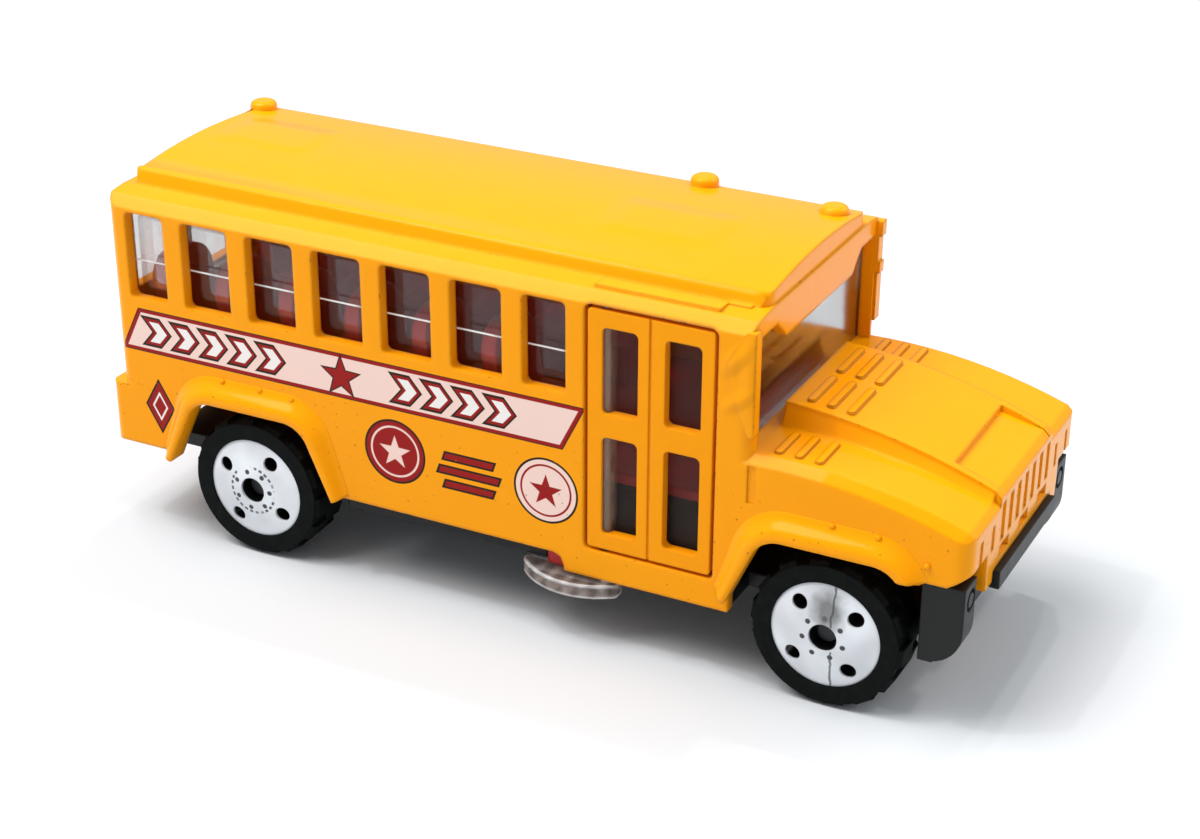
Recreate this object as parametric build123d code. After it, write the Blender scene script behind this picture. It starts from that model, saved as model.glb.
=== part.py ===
from build123d import *
import os
from math import asin, cos, pi, sin

os.makedirs("parts", exist_ok=True)

# Die-cast toy school bus, in millimetres.  +X is forward, +Y is the bus's left side, Z = 0 is the floor.

# Overall
wheelbase = 49.7
rear_overhang = 14.0            # rear axle to the face of the rear bumper
front_overhang = 10.9           # front axle to the face of the front bumper
overall_length = rear_overhang + wheelbase + front_overhang
rear_axle_x = rear_overhang - overall_length / 2
front_axle_x = rear_axle_x + wheelbase
tail_x = -overall_length / 2
nose_x = overall_length / 2

# Body casting
half_width = 12.36
wall = 1.0
bumper_depth = 1.15             # rear bumper, proud of the rear wall
bumper_round = 0.9
body_rear_x = tail_x + bumper_depth
cab_front_x = front_axle_x - 6.4
fascia_x = nose_x - 0.5
eave_z = 28.2                   # top of the straight side
shoulder_z = 29.1
riser_z = 30.3                  # edge of the raised roof panel
crown_z = 31.0
shoulder_inset = 0.86           # from the straight side in to each line of the roof
riser_foot_inset = 2.46
riser_top_inset = 3.26
shoulder_half = half_width - shoulder_inset
riser_foot_half = half_width - riser_foot_inset
riser_top_half = half_width - riser_top_inset
riser_sink = 0.4                # raised panel runs this far into the roof below it
roof_rear_gap = 0.6             # raised panel stops short of the end walls
roof_front_gap = 0.18
roof_corner = 1.6
corner_radius = 1.0
inner_eave_share = 0.4          # how far the eave's inside drops with the wall
shoulder_rise = 0.2             # shoulder slopes up this much to the riser's foot
door_cap_rise = 0.1             # low pads on the right shoulder, over the door and at the corner
door_cap_inset = (1.1, 2.5)
corner_pad_x = (40.2, 42.0)     # ahead of the rear axle
corner_pad_inset = (2.3, 3.9)

# Underside of the casting
tail_z = 7.4
rear_bumper_top_z = 12.6
sill_z = 7.1
doorstep_z = 5.7
fascia_bottom_z = 11.2
fascia_half = 8.5               # the fascia hangs lower inside this
fascia_foot = (6.8, 8.4, 10.3)  # its feet beside the bumper bar: Y and lowest Z
fender_bottom_z = 12.2
door_step_behind = 2.0          # the sill steps down this far behind the door, with this slope
door_step_slope = 0.3
door_step_round = 0.9
nose_corner_rise = (1.6, 1.1)    # the nose's lower corners are cut away: length and height
nose_rise_x = (1.5, 1.0)        # the nose's lower edge rises between these, behind the fascia

# Wheel arches and their flares
arch_half_top = 5.1
arch_half_bottom = 7.8
arch_top_z = 13.0
arch_corner = 0.9
arch_corner_run = 0.4           # how the cut corner's run and drop share it
arch_corner_drop = 0.8
flare_proud = 1.04
flare_margin = 1.3              # lip left round the arch
flare_rise = 2.2                # height of the flare over the arch, at the side
flare_lip_margin = 0.7          # the flare's outer lip, inside its foot
flare_lip_rise = 1.0
flare_root = 0.2                # depth of the flare's foot in the side
arch_clear_z = 4.0              # the cuts start below all of the casting

# Hood and fenders
fender_mid_z = 18.5
fender_front_z = 16.5
fender_edge_drop = 0.7
hood_rear_z = 20.7
hood_mid_z = 19.6
hood_front_z = 17.2
hood_half = 6.1
hood_foot_half = 7.0            # the raised middle of the hood spreads to this at its foot
nose_bevel = 0.5                # hood front edge to the fascia
nose_corner_radius = 1.2
bevel_share = 0.41              # keeps the wall even round the nose bevel
flank_drop = (0.1, 0.3)         # flank of the raised middle, below the hood's edge and into the fender
flank_root = 0.1                # and this far into the raised middle
flank_steps = 4
fender_root = 1.2 * corner_radius       # fenders start inside the cab's rounded corner
cab_groove_x = (43.1, 43.7)     # upright groove between cab and fender, ahead of the rear axle
cab_groove_z = (15.2, 18.2)
cab_groove_depth = 0.15
louvre_pitch = 1.55
louvre_first_x = 1.3            # from the windshield to the first louvre's rear edge
louvre_length = 0.62
louvre_rise = 0.2
louvre_count = 3
louvre_sink = 0.6
louvre_corner = 0.29
louvre_spans = ((-5.2, -0.5), (0.5, 5.2))
fender_louvre_span = (7.5, 11.2)
scoop_half = 5.3                # recess in the front of the hood
scoop_length = 3.4
scoop_depth = 0.45
scoop_lip_depth = 0.1
grille_slots = 7
grille_pitch = 1.75
grille_slot_width = 0.7
grille_z = (13.1, 16.1)
grille_depth = 0.35
intake_z = (11.8, 12.6)
intake_width = 2.0
intake_pitch = 4.5
headlamp_slots = ((7.2, 7.7), (9.8, 10.3))       # upright slots each side of a headlamp
headlamp_z = (13.2, 15.1)

# Roof lamps and mirrors, cast in relief on the left
lamp_places = ((-11.5, 8.0), (29.8, 8.6), (41.3, 7.2))   # ahead of the rear axle, out from the middle
lamp_radius = 1.15
lamp_round = 0.5
lamp_rise = 0.9                 # over the edge of the raised panel
lamp_sink = 0.5
mirror_inset = (0.16, 1.06)
mirror_blocks = ((27.6, 28.8, 0.5), (25.3, 27.7, 0.25), (24.5, 25.4, 0.45))   # low, high, proud
mirror_arm = ((0.2, 28.5), (-0.5, 28.5), (-2.1, 25.8), (-1.4, 23.0), (-0.3, 20.4), (0.2, 20.4))
mirror_arm_proud = 0.1          # mirror_arm is X from the cab's front and Z
mirror_arm_root = 0.9

# Rear wall, cast in relief
rear_lamps = ((9.6, 17.7, 1.15), (9.6, 14.7, 0.85), (6.9, 17.7, 0.85))   # out from the middle, height, radius
rear_lamp_proud = 0.35
exit_half = 3.7                 # emergency door's groove
exit_z = (13.4, 28.0)
exit_groove = 0.3
exit_groove_depth = 0.2
exit_panel_half = 2.5           # pressed panel under its window
exit_panel_z = (14.4, 17.4)
exit_panel_depth = 0.15
exit_panel_corner = 0.4
exit_handle = ((1.0, 2.8), (18.1, 18.5), 0.4)       # Y, Z, proud
exit_hinges = ((14.6, 15.6), (20.6, 21.6), (26.2, 27.2))
exit_hinge_width = 0.7
exit_hinge_proud = 0.3

# Windows
window_count = 7
window_pitch = 6.1
window_width = 4.4
window_sill_z = 20.65
window_top_z = 27.95
window_corner = 0.45
first_window_x = rear_axle_x - 11.85     # rear edge of the regular grid
end_window_trim = 0.75
windshield_pillar = 1.26
windshield_half = half_width - windshield_pillar
windshield_sill_z = 18.95
fender_rear_z = windshield_sill_z
windshield_top_z = 27.7
header_half = 6.4               # the header hangs lower over the middle
header_notch_half = 8.2
header_z = 26.1
rear_window_inset = 2.06
rear_window_inner = 4.6
rear_window_drop = 0.6          # below the side windows' top
exit_window_half = 2.9
exit_window_z = 19.2
driver_window = (1.5, 9.0)      # from the door's rear edge, on the left side

# Door, on the right side
door_rear_x = rear_axle_x + 30.2
door_length = 10.1
door_bottom_z = 8.4
door_top_z = 27.95
door_gap = 0.3
door_thickness = 0.85
door_inset = 0.06
door_corner = 0.55
door_leaf_shift = 0.1           # panes sit this far forward of their leaves' middles
door_fold_width = 0.2
door_fold_depth = 0.12
pane_width = 2.9
pane_corner = 0.45
upper_pane = (19.7, 26.6)       # bottom and top heights
lower_pane = (9.7, 17.8)

# Clear door glass, pivot rod and thumb lever, one moulding
rod_radius = 0.45
rod_clearance = 0.05
rod_from_edge = 1.25            # door's rear edge to the rod's axis
rod_from_side = 0.81            # body side to the rod's axis
glass_thickness = 0.5
glass_gap = 0.02
glass_margin = 0.6              # door edge to the plate's edge
journal_half = 1.3              # blocks that hold the rod, over and under the door
journal_reach = 1.2
journal_top_inset = 0.3
journal_rise = 0.4
rod_end_gap = 0.1
rod_top_z = eave_z - rod_end_gap
lever_bottom_z = 4.2
lever_thickness = 1.1
lever_rear = 7.3                # reach behind the rod
lever_front = 1.1
lever_proud = 1.04
lever_middle = 2.75             # furthest out this far behind the rod
lever_root = 0.9                # inner edge, in from the rod
lever_shoulder = (0.45, -0.2)   # ends of its curved edge at the front and the rear, out from the rod
lever_corner = 0.5

# Wheels
tyre_radius = 6.0
hub_radius = 4.28
tyre_fit = 0.02
tyre_width = 4.3
tyre_face = half_width + 0.19   # outer face of the tyre, from the centre line
hub_face = half_width + 0.04
hub_width = 4.1
hub_dome = 0.6                  # middle of the hub's face, proud of its rim
hub_hollow = (1.7, 0.7, 1.3)    # boss radius, rim wall and web thickness
hub_holes = (4, 0.62, 3.1)      # count, radius and ring radius
hub_turn = {"front": 40, "rear": 57}
axle_radius = 0.6
wheel_running = 0.05            # radial clearance of the hub on its axle
axle_head_radius = 0.9
axle_head_length = 0.45
axle_head_chamfer = 0.15
axle_overlap = 0.05
cap_bore_radius = 1.1
cap_bore_depth = 0.95
end_play = 0.1
lug_count = 14                  # in each of two staggered rows
lug_height = 0.32
lug_length = 1.55
lug_past_middle = 0.3
lug_bevel = 0.4

# Base
floor_z = 12.9                  # underside of the interior's floor
base_side_gap = 0.26
base_half = half_width - wall - base_side_gap
base_end_gap = (0.2, 0.3)       # to the casting's rear wall and to its nose
base_wheel_gap = 0.2
base_door_gap = (0.6, 3.0)      # behind and ahead of the door's rear edge
base_bottom_z = 5.7
base_thickness = 1.2
keel_half = 5.2
keel_drop = 0.9
keel_end = 3.4
carrier_wheel_gap = 0.3
carrier_half = tyre_face - tyre_width - carrier_wheel_gap
carrier_length = 4.4
carrier_rise = 0.6
axle_fit = 0.02
wheel_bay_half = 6.9
casting_gap = 0.05              # base and interior under what they meet
front_bar_bottom_z = 9.7
front_bar_half = 6.6
plate_front_gap = 2.9           # plate's front edge behind the bumper's face
bumper_end = (9.6, 12.0)        # blocks at the ends of the front bumper
bumper_end_setback = 0.8
bumper_end_round = 2.8
bumper_end_gap = 0.1
tow_ring = (10.6, 10.7, 0.9, 0.55, 0.3)     # Y, Z, outer and inner radius, depth
front_post_ahead = 5.5          # posts that hold the base, from the axles
rear_post_behind = 9.6
post_radius = 1.4
post_clearance = 0.1
post_rise = 0.6                 # into the underside of the hood
rivet_radius = 2.0
rivet_height = 0.4
rib_half = 0.6
rib_gap = 0.3                   # over the base plate
post_places = (                 # X and top of each
    (front_axle_x + front_post_ahead, fender_mid_z - wall + post_rise / 2),
    (rear_axle_x - rear_post_behind, floor_z),
)

# Interior and glazing
floor_thickness = 0.8
interior_side_gap = 0.16
interior_half = half_width - wall - interior_side_gap
interior_end_gap = (0.2, 0.3)
door_well_depth = 2.46          # interior and glazing keep clear of the door outside this
door_well_half = half_width - door_well_depth
door_well_behind = 0.8
seat_count = 6
seat_width = 6.4
seat_clearance = 0.25
seat_setback = 2.2              # rear edge of a window to the foot of the seat back beside it
dash_length = 2.4
seat_cushion_z = 17.2
seat_back_z = 23.4
seat_back_thickness = 1.2
seat_back_lean = 0.9
seat_depth = 3.4
seat_sink = 0.1
seat_corner = 2.2               # top corners of the seat backs
driver_seat_ahead = 3.0         # of the door's rear edge
driver_seat_width = 6.0
driver_seat_inset = 1.0
driver_seat_depth = 3.0
dash_drop = 0.3                 # below the windshield
dash_slope = 0.6
dash_gap = 0.15
dash_door_gap = 0.2
steering_y = 6.4
steering_radius = 1.7
steering_thickness = 0.4
steering_lean = 35
column_radius = 0.35
column_length = 2.4
post_behind_door = 3.9          # coloured post beside the lever
post_length = 2.0
post_depth = 1.6
post_gap = 0.2                  # the base keeps this far from the post
post_lever_gap = 0.1
glazing_thickness = 0.6
glazing_gap = 0.1
glazing_bottom_z = windshield_sill_z + casting_gap
glazing_roof_gap = 0.3
glazing_return = 1.0            # left beside the windshield where the door's side is open


def side_plate(outline, y_from, y_to):
    """Extrude an outline of X and Z points between two Y places."""
    face = make_face(Polyline(*[(x, y_from, z) for x, z in outline], close=True))
    return extrude(face, amount=y_to - y_from, dir=(0, 1, 0))


def block(x, y, z):
    """Box from its lowest and highest X, Y and Z."""
    sides = (x[1] - x[0], y[1] - y[0], z[1] - z[0])
    return Pos((x[0] + x[1]) / 2, (y[0] + y[1]) / 2, (z[0] + z[1]) / 2) * Box(*sides)


def upright(x, y, z, radius):
    """Upright cylinder from z[0] to z[1]."""
    return Pos(x, y, (z[0] + z[1]) / 2) * Cylinder(radius, z[1] - z[0])


def mirrored(side, low, high):
    """A span of Y on the given side, in rising order."""
    return sorted((side * low, side * high))


def rounded_opening(x, z, y_from, y_to, radius):
    """Prism through the side with rounded corners; x and z are (low, high)."""
    outline = RectangleRounded(x[1] - x[0], z[1] - z[0], radius)
    place = Plane(origin=((x[0] + x[1]) / 2, y_to, (z[0] + z[1]) / 2), x_dir=(1, 0, 0), z_dir=(0, -1, 0))
    return extrude(place * outline, amount=y_to - y_from)


def arch_outline(axle_x, grow=0.0, rise=0.0, bottom=arch_clear_z):
    """Wheel arch in X and Z: a trapezoid with its top corners cut."""
    top_z = arch_top_z + rise
    half = [
        (arch_half_top - arch_corner + grow, top_z),
        (arch_half_top + arch_corner * arch_corner_run + grow, top_z - arch_corner * arch_corner_drop),
        (arch_half_bottom + grow, sill_z),
        (arch_half_bottom + grow, bottom),
    ]
    rear = [(axle_x - x, z) for x, z in reversed(half)]
    front = [(axle_x + x, z) for x, z in half]
    return rear + front


def cabin_solid(inset):
    """Straight sides up to sloping shoulders, with rounded upright corners; inset makes the inside."""
    x_from = body_rear_x + inset
    x_to = cab_front_x - inset
    half = [
        (half_width - inset, doorstep_z),
        (half_width - inset, eave_z - inset * inner_eave_share),
        (shoulder_half - inset, shoulder_z - inset),
        (riser_foot_half - inset, shoulder_z + shoulder_rise - inset),
    ]
    points = [(x_from, -y, z) for y, z in half] + [(x_from, y, z) for y, z in reversed(half)]
    cabin = extrude(make_face(Polyline(*points, close=True)), amount=x_to - x_from, dir=(1, 0, 0))
    if inset:
        return cabin
    return fillet(cabin.edges().filter_by(Axis.Z), corner_radius)


def roof_panel():
    """Raised roof, crowned across and rounded at its corners."""
    x_from = body_rear_x + roof_rear_gap
    x_to = cab_front_x - roof_front_gap
    foot = shoulder_z - riser_sink
    edges = ((x_from, -riser_top_half, riser_z), (x_from, riser_top_half, riser_z))
    crown = ThreePointArc(edges[0], (x_from, 0, crown_z), edges[1])
    rest = Polyline(edges[1], (x_from, riser_foot_half, foot), (x_from, -riser_foot_half, foot), edges[0])
    panel = extrude(make_face(Wire([*crown.edges(), *rest.edges()])), amount=x_to - x_from, dir=(1, 0, 0))
    plan = RectangleRounded(x_to - x_from, 2 * riser_foot_half, roof_corner)
    envelope = Pos((x_from + x_to) / 2, 0, foot) * extrude(plan, amount=crown_z - foot + 1)
    return panel & envelope


def shoulder_pads():
    """Low pads on the right shoulder: one over the door and a small one at the front corner."""
    low = shoulder_z - riser_sink
    door_x = (door_rear_x, door_rear_x + door_length - door_cap_rise)
    corner_x = [rear_axle_x + x for x in corner_pad_x]
    pads = []
    for x_range, (outer, inner) in ((door_x, door_cap_inset), (corner_x, corner_pad_inset)):
        y_range = (outer - half_width, inner - half_width)
        pads.append(block(x_range, y_range, (low, shoulder_z + shoulder_rise + door_cap_rise)))
    return pads


def hood_solid(rear_z, mid_z, front_z, half, inset, x_rear=None):
    """Side profile of a hood or fender surface, extruded across the body."""
    x_rear = cab_front_x if x_rear is None else x_rear
    x_mid = (cab_front_x + fascia_x) / 2
    x_edge = fascia_x - nose_bevel - bevel_share * inset
    z_edge = front_z - nose_bevel - bevel_share * inset
    crest = ((x_rear, -half, rear_z - inset), (x_mid, -half, mid_z - inset), (x_edge, -half, front_z - inset))
    top = ThreePointArc(*crest)
    rest = Polyline(
        crest[2],
        (fascia_x - inset, -half, z_edge),
        (fascia_x - inset, -half, doorstep_z),
        (x_rear, -half, doorstep_z),
        crest[0],
    )
    face = make_face(Wire([*top.edges(), *rest.edges()]))
    return extrude(face, amount=2 * half, dir=(0, 1, 0))


def crest_z(x, heights=(hood_rear_z, hood_mid_z, hood_front_z)):
    """Height at x on the curve through a hood surface's rear, middle and front heights."""
    x0, x1, x2 = cab_front_x, (cab_front_x + fascia_x) / 2, fascia_x - nose_bevel
    z0, z1, z2 = heights
    a = (x - x1) * (x - x2) / ((x0 - x1) * (x0 - x2))
    b = (x - x0) * (x - x2) / ((x1 - x0) * (x1 - x2))
    c = (x - x0) * (x - x1) / ((x2 - x0) * (x2 - x1))
    return a * z0 + b * z1 + c * z2


def wheel_arch_flare(axle_x, side):
    """Raised band round a wheel arch, tapering from the side to its lip."""
    bottom = sill_z - flare_root
    foot = arch_outline(axle_x, flare_margin, flare_rise, bottom)
    lip = arch_outline(axle_x, flare_lip_margin, flare_lip_rise, bottom)
    sections = []
    for outline, y in ((foot, half_width - flare_root), (lip, half_width + flare_proud)):
        points = [outline[0], *outline[2:6], outline[7]]
        sections.append(make_face(Polyline(*[(x, side * y, z) for x, z in points], close=True)))
    return loft(sections, ruled=True)


def louvre(x, y_range, top):
    """Low raised pad with rounded ends."""
    plan = RectangleRounded(louvre_length, y_range[1] - y_range[0], louvre_corner)
    place = Pos(x + louvre_length / 2, (y_range[0] + y_range[1]) / 2, top - louvre_sink)
    return extrude(place * plan, amount=louvre_sink + louvre_rise)


def build_hood():
    """Fenders at full width and the raised middle, with louvres, scoop recess and nose."""
    x_rear = cab_front_x - fender_root
    fenders = hood_solid(fender_rear_z, fender_mid_z, fender_front_z, half_width, 0, x_rear)
    sides = fenders.edges().filter_by(lambda e: abs(abs(e.center().Y) - half_width) < door_inset)
    rims = sides.filter_by(lambda e: e.center().Z > fender_front_z - 2 * nose_bevel)
    fenders = chamfer(rims, fender_edge_drop)
    plan_length = 2 * (fascia_x - x_rear)
    plan = RectangleRounded(plan_length, 2 * half_width, nose_corner_radius)
    fenders = fenders & (Pos(fascia_x - plan_length / 2, 0, 0) * extrude(plan, amount=crown_z))
    low = fender_front_z - 2 * nose_bevel
    hood = hood_solid(hood_rear_z, hood_mid_z, hood_front_z, hood_half, 0)
    hood -= block((cab_front_x - 1, fascia_x + 1), (-hood_half - 1, hood_half + 1), (0, low))
    for side in (-1, 1):
        sections = []
        for i in range(flank_steps + 1):
            x = cab_front_x + (fascia_x - nose_bevel - cab_front_x) * i / flank_steps
            foot_z = crest_z(x, (fender_rear_z, fender_mid_z, fender_front_z)) - flank_drop[1]
            ramp = [(hood_half - flank_root, crest_z(x) - flank_drop[0]), (hood_foot_half, foot_z),
                    (hood_half - flank_root, low)]
            sections.append(make_face(Polyline(*[(x, side * y, z) for y, z in ramp], close=True)))
        hood += loft(sections, ruled=True)
    solid = fenders + hood
    scoop_x = fascia_x - nose_bevel - scoop_length
    scoop = [
        (scoop_x, crest_z(scoop_x) - scoop_depth),
        (scoop_x, crest_z(scoop_x) + 1),
        (fascia_x + 1, crest_z(scoop_x) + 1),
        (fascia_x + 1, hood_front_z - nose_bevel - 1 - scoop_lip_depth),
        (scoop_x + scoop_length, hood_front_z - scoop_lip_depth),
    ]
    solid -= side_plate(scoop, -scoop_half, scoop_half)
    for i in range(louvre_count):
        x = cab_front_x + louvre_first_x + i * louvre_pitch
        for y_range in louvre_spans:
            solid += louvre(x, y_range, crest_z(x + louvre_length / 2))
        top = crest_z(x + louvre_length / 2, (fender_rear_z, fender_mid_z, fender_front_z))
        for side in (-1, 1):
            solid += louvre(x, mirrored(side, *fender_louvre_span), top)
    return solid


def nose_cuts():
    """Grille slots, the intakes under them and the slots beside the headlamps."""
    cuts = []
    x_range = (fascia_x - grille_depth, fascia_x + 1)
    for i in range(grille_slots):
        y = (i - (grille_slots - 1) / 2) * grille_pitch
        cuts.append(block(x_range, (y - grille_slot_width / 2, y + grille_slot_width / 2), grille_z))
    for i in (-1, 0, 1):
        y = i * intake_pitch
        cuts.append(block(x_range, (y - intake_width / 2, y + intake_width / 2), intake_z))
    for side in (-1, 1):
        for y_range in headlamp_slots:
            cuts.append(block(x_range, mirrored(side, *y_range), headlamp_z))
    return cuts


def ring_cut(middle, radius, width, depth):
    """Ring pressed rearwards into a face; middle is its X, Y and Z on that face."""
    x, y, z = middle
    place = Plane(origin=(x - depth, y, z), x_dir=(0, 1, 0), z_dir=(1, 0, 0))
    return extrude(place * (Circle(radius) - Circle(radius - width)), amount=depth + 1)


def rear_relief():
    """Tail lamps, exit handle and hinges to add to the rear wall, then the grooves to cut in it."""
    inner_x = body_rear_x + wall / 2
    added = []
    for y, z, radius in rear_lamps:
        for side in (-1, 1):
            depth = inner_x - body_rear_x + rear_lamp_proud
            place = Plane(origin=(inner_x, side * y, z), x_dir=(0, 1, 0), z_dir=(-1, 0, 0))
            added.append(extrude(place * Circle(radius), amount=depth))
    handle_y, handle_z, handle_proud = exit_handle
    added.append(block((body_rear_x - handle_proud, inner_x), handle_y, handle_z))
    for z_range in exit_hinges:
        y_range = (-exit_half - exit_hinge_width, -exit_half)
        added.append(block((body_rear_x - exit_hinge_proud, inner_x), y_range, z_range))
    groove_x = (tail_x - 1, body_rear_x + exit_groove_depth)
    frame = block(groove_x, (-exit_half, exit_half), exit_z)
    frame -= block(groove_x, (-exit_half + exit_groove, exit_half - exit_groove),
                   (exit_z[0] - 1, exit_z[1] - exit_groove))
    panel = RectangleRounded(2 * exit_panel_half, exit_panel_z[1] - exit_panel_z[0], exit_panel_corner)
    middle = (body_rear_x + exit_panel_depth, 0, sum(exit_panel_z) / 2)
    place = Plane(origin=middle, x_dir=(0, 1, 0), z_dir=(-1, 0, 0))
    return added, [frame, extrude(place * panel, amount=bumper_depth)]


def window_cuts():
    """Side windows on both sides, the driver's window on the left and the rear windows."""
    span = half_width + flare_proud + 1
    window_z = (window_sill_z, window_top_z)
    cuts = []
    for i in range(window_count):
        x_low = first_window_x + i * window_pitch
        x_high = x_low + window_width
        if i == 0:
            x_low += end_window_trim
        if i == window_count - 1:
            x_high -= end_window_trim
        cuts.append(rounded_opening((x_low, x_high), window_z, -span, span, window_corner))
    driver_x = [door_rear_x + x for x in driver_window]
    cuts.append(rounded_opening(driver_x, window_z, half_width - 2 * wall, span, window_corner))
    rear_x = (tail_x - 1, body_rear_x + 2 * wall)
    rear_top = window_top_z - rear_window_drop
    cuts.append(block(rear_x, (-exit_window_half, exit_window_half), (exit_window_z, rear_top)))
    for side in (-1, 1):
        y_range = mirrored(side, rear_window_inner, half_width - rear_window_inset)
        cuts.append(block(rear_x, y_range, (window_sill_z, rear_top)))
    return cuts


def underside_cuts():
    """What the lower edge of the casting leaves out, and the wheel arches."""
    span = half_width + flare_proud + 1
    low = arch_clear_z
    door_edge = door_rear_x - door_step_behind
    outlines = [
        [(tail_x - 1, low), (tail_x - 1, tail_z), (rear_axle_x, tail_z), (rear_axle_x, low)],
        [(rear_axle_x, low), (rear_axle_x, sill_z), (door_edge - door_step_round, sill_z),
         (door_edge - door_step_round * 0.3, sill_z - door_step_round * 0.3),
         (door_edge, sill_z - door_step_round), (door_edge + door_step_slope, low)],
        [(front_axle_x, low), (front_axle_x, fender_bottom_z), (fascia_x - nose_rise_x[0], fender_bottom_z),
         (fascia_x - nose_rise_x[1], fascia_bottom_z), (nose_x + 1, fascia_bottom_z), (nose_x + 1, low)],
    ]
    outlines += [arch_outline(axle_x) for axle_x in (rear_axle_x, front_axle_x)]
    cuts = [side_plate(outline, -span, span) for outline in outlines]
    run, rise = nose_corner_rise
    corner = [
        (front_axle_x, low),
        (front_axle_x, fender_bottom_z),
        (fascia_x - run, fender_bottom_z),
        (fascia_x, fender_bottom_z + rise),
        (nose_x + 1, fender_bottom_z + rise),
        (nose_x + 1, low),
    ]
    cuts += [side_plate(corner, *mirrored(side, fascia_half, span)) for side in (-1, 1)]
    return cuts


def build_body():
    body = cabin_solid(0) + roof_panel()
    for pad in shoulder_pads():
        body += pad
    for x, y in lamp_places:
        lamp = upright(rear_axle_x + x, y, (riser_z - lamp_sink, riser_z + lamp_rise), lamp_radius)
        body += fillet(lamp.edges().group_by(Axis.Z)[-1], lamp_round)

    # cabin, open below, and the windshield with its lowered header
    body -= cabin_solid(wall)
    body -= block((body_rear_x + wall, cab_front_x - wall), (wall - riser_foot_half, riser_foot_half - wall),
                  (doorstep_z, shoulder_z + shoulder_rise - wall))
    screen = [
        (windshield_half, windshield_sill_z),
        (windshield_half, windshield_top_z),
        (header_notch_half, windshield_top_z),
        (header_half, header_z),
    ]
    points = [(cab_front_x, -y, z) for y, z in screen] + [(cab_front_x, y, z) for y, z in reversed(screen)]
    body -= extrude(make_face(Polyline(*points, close=True)), amount=2 * wall, dir=(-1, 0, 0))

    # hood and nose, hollow, and what is cast on the cab's front
    body += build_hood()
    inner_half = half_width - wall
    body -= hood_solid(fender_rear_z, fender_mid_z, fender_front_z, inner_half, wall, cab_front_x - 2 * wall)
    for cut in nose_cuts():
        body -= cut
    arm = [(cab_front_x + x, z) for x, z in mirror_arm]
    groove_x = [rear_axle_x + x for x in cab_groove_x]
    mirror_y = (half_width - mirror_inset[1], half_width - mirror_inset[0])
    for z_low, z_high, proud in mirror_blocks:
        body += block((cab_front_x - wall, cab_front_x + proud), mirror_y, (z_low, z_high))
    for side in (-1, 1):
        body += side_plate(arm, *mirrored(side, half_width - mirror_arm_root, half_width + mirror_arm_proud))
        body -= block(groove_x, mirrored(side, half_width - cab_groove_depth, half_width + 1), cab_groove_z)
        for axle_x in (rear_axle_x, front_axle_x):
            body += wheel_arch_flare(axle_x, side)
    bumper = block((tail_x, body_rear_x + wall), (-half_width, half_width), (tail_z, rear_bumper_top_z))
    body += fillet(bumper.edges().filter_by(Axis.Z).group_by(Axis.X)[0], bumper_round)
    added, cut_away = rear_relief()
    for piece in added:
        body += piece
    for cut in [*cut_away, *underside_cuts(), *window_cuts()]:
        body -= cut
    for side in (-1, 1):
        foot_z = (fascia_foot[2], fascia_bottom_z + wall)
        body += block((fascia_x - wall, fascia_x), mirrored(side, *fascia_foot[:2]), foot_z)

    # door opening on the right
    door_x = (door_rear_x - door_gap, door_rear_x + door_length + door_gap)
    door_z = (door_bottom_z - door_gap, door_top_z + door_gap)
    body -= rounded_opening(door_x, door_z, -half_width - 1, -half_width + 2 * wall, door_corner)

    # journals for the door's pivot rod
    rod_x, rod_y = rod_place()
    journal_x = (rod_x - journal_half, rod_x + journal_half)
    body += block(journal_x, (-half_width, rod_y + journal_reach), (doorstep_z, door_z[0]))
    upper_y = (-half_width + journal_top_inset, rod_y + journal_reach)
    body += block(journal_x, upper_y, (door_z[1], rod_top_z + journal_rise))
    body -= upright(rod_x, rod_y, (lever_bottom_z, rod_top_z + rod_end_gap), rod_radius + rod_clearance)

    # posts that carry the base, spun over under it
    rivet_z = (base_bottom_z - rivet_height, base_bottom_z)
    for x, top in post_places:
        body += upright(x, 0, (rivet_z[0], top), post_radius)
        body += upright(x, 0, rivet_z, rivet_radius)
    rib_z = (base_bottom_z + base_thickness + rib_gap, floor_z - post_clearance)
    body += block((body_rear_x, post_places[1][0]), (-rib_half, rib_half), rib_z)
    return body


def rod_place():
    return door_rear_x + rod_from_edge, -half_width + rod_from_side


def build_door_panel():
    y_out = -half_width + door_inset
    y_in = y_out + door_thickness
    x_range = (door_rear_x, door_rear_x + door_length)
    panel = rounded_opening(x_range, (door_bottom_z, door_top_z), y_out, y_in, door_corner - door_gap)
    leaf = door_length / 2
    for i in range(2):
        x_mid = door_rear_x + leaf * (i + 0.5) + door_leaf_shift
        x_pane = (x_mid - pane_width / 2, x_mid + pane_width / 2)
        for z_pane in (upper_pane, lower_pane):
            panel -= rounded_opening(x_pane, z_pane, y_out - 1, y_in + 1, pane_corner)
    fold_x = (door_rear_x + leaf - door_fold_width / 2, door_rear_x + leaf + door_fold_width / 2)
    panel -= block(fold_x, (y_out - 1, y_out + door_fold_depth), (door_bottom_z - 1, door_top_z + 1))
    return panel - upright(*rod_place(), (door_bottom_z - 1, door_top_z + 1), rod_radius + rod_clearance)


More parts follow.
